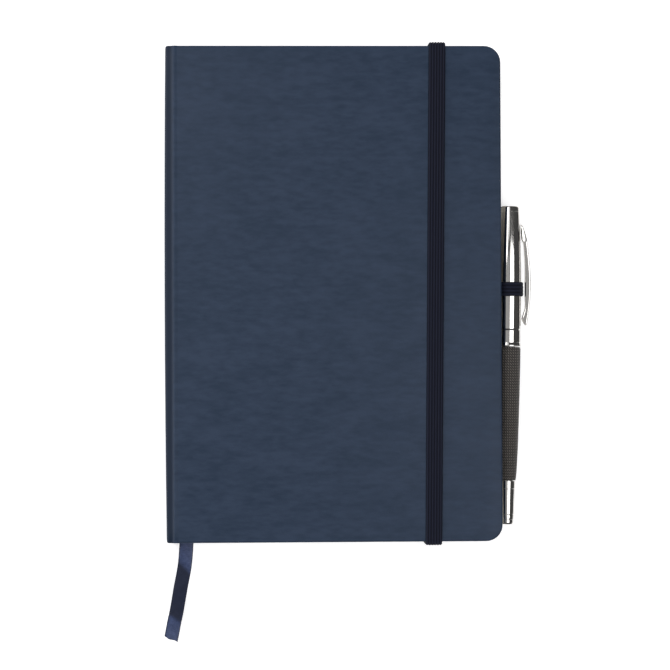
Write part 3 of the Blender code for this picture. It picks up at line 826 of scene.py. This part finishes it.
def make_pen_loop():
    """Both ends are glued inside the back cover, and the loop hugs the cap."""
    look = elastic_look("loop_look", LOOP_RIBS, LOOP_HIGH - LOOP_LOW)
    route, facing = loop_line()
    middle_y = (LOOP_LOW + LOOP_HIGH) / 2
    route = [point + Vector((-middle_y * math.sin(PEN_TILT), middle_y, 0)) for point in route]
    rings, uvs = elastic_rings(route, facing, LOOP_HIGH - LOOP_LOW, LOOP_THICK, LOOP_RIBS, LOOP_RIB_DEPTH)
    loop = sweep("pen_loop_elastic", rings, look, "back_cover", uvs)
    stand_for("pen_loop")


# ---------------------------------------------------------------- leather over the joints


SPINE_CROWN = THICKNESS - HINGE_DEPTH + 1.05
STRIP_LINE = [
    (5.0, 17.004), (4.6, 17.01), (4.25, 17.02), (3.9, 17.015), (3.55, 16.95), (3.2, 16.78), (2.9, 16.56),
    (2.6, 16.36), (2.25, 16.22), (1.9, 16.14), (1.55, SPINE_CROWN + 0.055), (1.25, SPINE_CROWN + 0.03),
    (0.95, SPINE_CROWN - 0.005),
]


def strip_ring(line, y, tucked, depth):
    """The strip's outline at one place along the book, this much lower and this thick in its middle."""
    top = [(p.x, y, p.z - tucked) for p in line]
    low = []
    for i, p in enumerate(line):
        fullness = math.sin(math.pi * i / (len(line) - 1))
        low.append((p.x, y, p.z - depth * fullness - 0.02 - tucked))
    return top + low[::-1]


def make_joint_strip(name, side, leather):
    """Leather from a cover, down into the joint and on to the rounded end of the spine."""
    line = smooth_points([(x, 0, z) for x, z in STRIP_LINE], 3)
    spans = 42
    places = [(COVER_HALF - 0.4) * (2 * span / spans - 1) for span in range(spans + 1)]
    rings = [strip_ring(line, 0.02 - COVER_HALF, tucked=0.3, depth=0.9)]
    for y in places:
        rings.append(strip_ring(line, y, tucked=0.0, depth=0.9 if abs(y) > COVER_HALF - 0.5 else 0.4))
    rings.append(strip_ring(line, COVER_HALF - 0.02, tucked=0.3, depth=0.9))
    if side < 0:
        rings = [[(x, y, THICKNESS - z) for x, y, z in ring] for ring in rings]
    strip = sweep(name, rings, leather)
    if side > 0:
        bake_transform(strip)
    else:
        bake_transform(strip)


# ---------------------------------------------------------------- the middle leaf


def make_centre_fold():
    """The middle leaf runs through the gutter, so that the open book has no gap."""
    look = ruled_look()
    fore, half, flat = PAGE_FORE_X - 0.1, PAGE_HALF - 0.1, 8.28
    half_thick, corner = 0.03, 1.2
    line = [(x, flat) for x in (fore, 90, 40, 12, 5.0)] + [(3.6, 8.32), (2.8, 8.4), (2.6, MIDDLE)]
    line += [(x, 2 * MIDDLE - z) for x, z in reversed(line[:-1])]
    rings = []
    for span in range(9):
        y = half * (span / 4 - 1)
        outer, inner = [], []
        for x, z in line:
            in_gutter = z == MIDDLE
            up = 0.0 if in_gutter else math.copysign(half_thick, MIDDLE - z)
            cut = corner if x == fore and span in (0, 8) else 0.0
            outer.append((x - cut, y, z - up))
            inner.append((x - cut + (2 * half_thick if in_gutter else 0.0), y, z + up))
        rings.append(outer + inner[::-1])
    leaf = sweep("middle_leaf", rings, look)
    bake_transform(leaf)


# ---------------------------------------------------------------- pen


def pen_place(point):
    """A point's place across and along the pen, in millimetres, from its place in the frame."""
    x, y = point.x / MM - BOOK_X / MM - PEN_X, point.y / MM
    across = x * math.cos(PEN_TILT) + y * math.sin(PEN_TILT)
    along = y * math.cos(PEN_TILT) - x * math.sin(PEN_TILT)
    return across, along, point.z / MM - MIDDLE


def wrap_uvs(piece, radius):
    """A UV map round the pen, in millimetres, with its seam underneath."""
    mesh = piece.data
    layer = mesh.uv_layers.new(name="UVMap")
    for face in mesh.polygons:
        places = [pen_place(mesh.vertices[i].co) for i in face.vertices]
        turns = [math.atan2(across, height) for across, _, height in places]
        wraps = max(turns) - min(turns) > math.pi
        for loop, turn, (_, along, _) in zip(face.loop_indices, turns, places):
            if wraps and turn < 0:
                turn += 2 * math.pi
            layer.data[loop].uv = (turn * radius, along)


# Each pair is a point on the clip's outer edge and one on its inner edge, from its root to its foot
CLIP_EDGES = [
    ((4.75, 29.75), (4.6, 29.3)), ((5.45, 29.0), (4.65, 27.4)), ((6.1, 27.3), (4.8, 25.0)),
    ((6.7, 25.5), (5.05, 22.9)), ((7.5, 22.1), (5.75, 21.3)), ((8.15, 17.2), (6.2, 16.8)),
    ((8.7, 12.3), (6.48, 12.3)), ((9.0, 8.0), (6.55, 8.0)), ((9.15, 3.4), (6.55, 3.6)),
    ((9.0, -1.5), (6.6, -1.0)), ((8.62, -6.1), (6.72, -5.6)), ((8.25, -9.3), (6.0, -8.6)),
    ((7.95, -11.5), (5.45, -10.4)), ((7.7, -13.0), (5.8, -11.9)), ((7.35, -13.65), (6.9, -13.5)),
]


CLIP_ROOT_Y, CLIP_SLOPE_Y, CLIP_FOOT_Y = 29.75, 23.0, -13.65
CLIP_TIP_HALF, CLIP_ROOT_HALF, CLIP_FOOT_HALF = 0.7, 1.85, 1.15
# A small value gives a flat face with tight edges, and one gives an ellipse
CLIP_ROUNDNESS = 0.45
CLIP_LEAN = 0.17
CLIP_SIDES = 24


def clip_half(y):
    """Half of the clip's depth at this place along it. It thins to a tip where it enters the cap."""
    share = (CLIP_ROOT_Y - y) / (CLIP_ROOT_Y - CLIP_FOOT_Y)
    half = CLIP_ROOT_HALF + (CLIP_FOOT_HALF - CLIP_ROOT_HALF) * share
    sunk = min(1.0, max(0.0, (y - CLIP_SLOPE_Y) / (CLIP_ROOT_Y - CLIP_SLOPE_Y)))
    return half + (CLIP_TIP_HALF - half) * sunk


def make_clip(chrome):
    """A sprung bar with a rounded section, whose foot bends in to the cap."""
    outer = smooth_points([(*edge, 0) for edge, _ in CLIP_EDGES], 4)
    inner = smooth_points([(*edge, 0) for _, edge in CLIP_EDGES], 4)
    turn = Matrix.Rotation(PEN_TILT, 3, "Z")
    rings = []
    for far, near in zip(outer, inner):
        half = clip_half(far.y)
        middle, reach = (far + near) / 2, (far - near) / 2
        ring = []
        for angle in arc(0, 2 * math.pi, CLIP_SIDES)[:-1]:
            parts = math.cos(angle), math.sin(angle)
            out, side = [math.copysign(abs(part) ** CLIP_ROUNDNESS, part) for part in parts]
            rise = half * side + CLIP_LEAN * reach.length * out
            point = turn @ (middle + reach * out + Vector((0, 0, rise)))
            ring.append((PEN_X + point.x, point.y, MIDDLE + point.z))
        rings.append(ring)
    clip = sweep("clip_bar", rings, chrome, "pen_clip")
    stand_for("clip")


def make_pen(looks):
    chrome = looks["chrome"]
    for name in ("cap_tube", "cap_finial", "cap_band", "cap_lip_ring"):
        smooth_copy(name, chrome, CHROME_CREASE)
    for name in ("tail_collar", "tail_cone", "tail_ring", "tail_plug"):
        smooth_copy(name, chrome, CHROME_CREASE)
    make_clip(chrome)
    sleeve = smooth_copy("barrel_sleeve", looks["woven_sleeve"], SLEEVE_CREASE)
    # A whole number of braid cells goes round the barrel
    wrap_uvs(sleeve, BRAID_CELLS * BRAID_PITCH / (2 * math.pi))


# ---------------------------------------------------------------- the whole object

def dress_nodes(looks):
    """Gives each CAD node that stays in view the look of its slot."""
    for name, piece in frame["nodes"].items():
        look = looks.get(slot_of[name])
        if look:
            piece.data.materials.clear()
            piece.data.materials.append(look)


bpy.context.scene.view_settings.view_transform = "Standard"
make_camera()
make_ribbon()
make_world()
make_panel("right_panel", angles=(6.5, 41.0), tilts=(-30.0, 8.0), radiance=3.2)
make_panel("middle_panel", angles=(-35.0, 2.5), tilts=(-30.0, 7.5), radiance=0.36)
make_panel("head_left_panel", angles=(-56.0, -24.0), tilts=(8.0, 45.0), radiance=3.7)
make_panel("head_panel", angles=(-23.5, -4.0), tilts=(9.0, 45.0), radiance=1.0)
make_side_light("left_light", angle=-74.0, distance=1.7, width=0.7, length=1.8, radiance=2.9)
make_floor()
make_flag()

looks = {
    "navy_leather": leather_look(),
    "chrome": chrome_look(),
    "woven_sleeve": sleeve_look(),
    "page_paper": page_look(),
    "endpaper": grained_look(
        "endpaper_look", (0.70, 0.67, 0.60), (0.80, 0.775, 0.70), (0.6, 0.6, 0.6), 0.02, (0.7, 0.85)
    ),
    "greyboard": grained_look(
        "greyboard_look", (0.24, 0.23, 0.21), (0.36, 0.345, 0.32), (0.4, 0.4, 0.12), 0.05, (0.8, 0.95)
    ),
    "lining_cloth": grained_look(
        "lining_look", (0.50, 0.49, 0.46), (0.66, 0.65, 0.61), (0.3, 0.3, 0.3), 0.05, (0.8, 0.95)
    ),
    "steel": grained_look(
        "steel_look", (0.42, 0.42, 0.41), (0.55, 0.55, 0.54), (0.2, 3.0, 0.2), 0.003, (0.22, 0.36),
        Metallic=1.0,
    ),
    "dark_plastic": grained_look(
        "plastic_look", (0.012, 0.012, 0.013), (0.022, 0.022, 0.024), (0.2, 0.2, 0.2), 0.01, (0.35, 0.5)
    ),
    "brass": grained_look(
        "brass_look", (0.55, 0.40, 0.16), (0.66, 0.49, 0.21), (0.2, 1.0, 0.2), 0.003, (0.2, 0.32),
        Metallic=1.0,
    ),
}
dress_nodes(looks)
for name in ("front_cover_skin", "back_cover_skin", "spine_skin"):
    smooth_copy(name, looks["navy_leather"], LEATHER_CREASE)
make_joint_strip("front_joint_leather", 1, looks["navy_leather"])
make_joint_strip("back_joint_leather", -1, looks["navy_leather"])
make_closure()
make_pen_loop()
make_centre_fold()
make_pen(looks)
